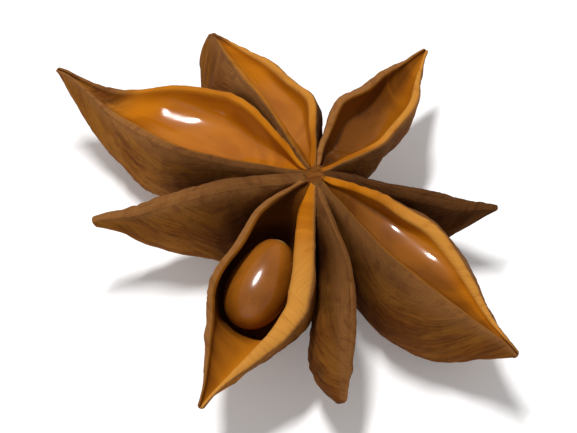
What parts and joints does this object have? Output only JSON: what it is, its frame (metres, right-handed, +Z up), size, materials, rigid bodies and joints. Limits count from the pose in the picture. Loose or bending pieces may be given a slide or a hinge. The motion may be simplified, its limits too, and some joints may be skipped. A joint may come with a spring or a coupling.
{
  "type": "star anise pod",
  "caption": "Dried star-shaped spice pod: boat-shaped carpels round a short core, some split open and gaping, with a glossy seed lying in an open one.",
  "frame": {"origin": "centre of the bounding box at its bottom, in the plane of the table that the pod rests on", "axes": "+Z up, out of the seams; -Y towards the viewer, roughly along the carpel that holds the seed; +X to the viewer's right"},
  "size_m": [0.028, 0.0264, 0.0084],
  "materials": {
    "dried_carpels": "matte wrinkled brown skin outside, glossy orange-brown walls inside",
    "seed_coat": "smooth polished brown"
  },
  "bodies": {
    "root": {"pod": "dried_carpels", "seed": "seed_coat"}
  },
  "joints": []
}
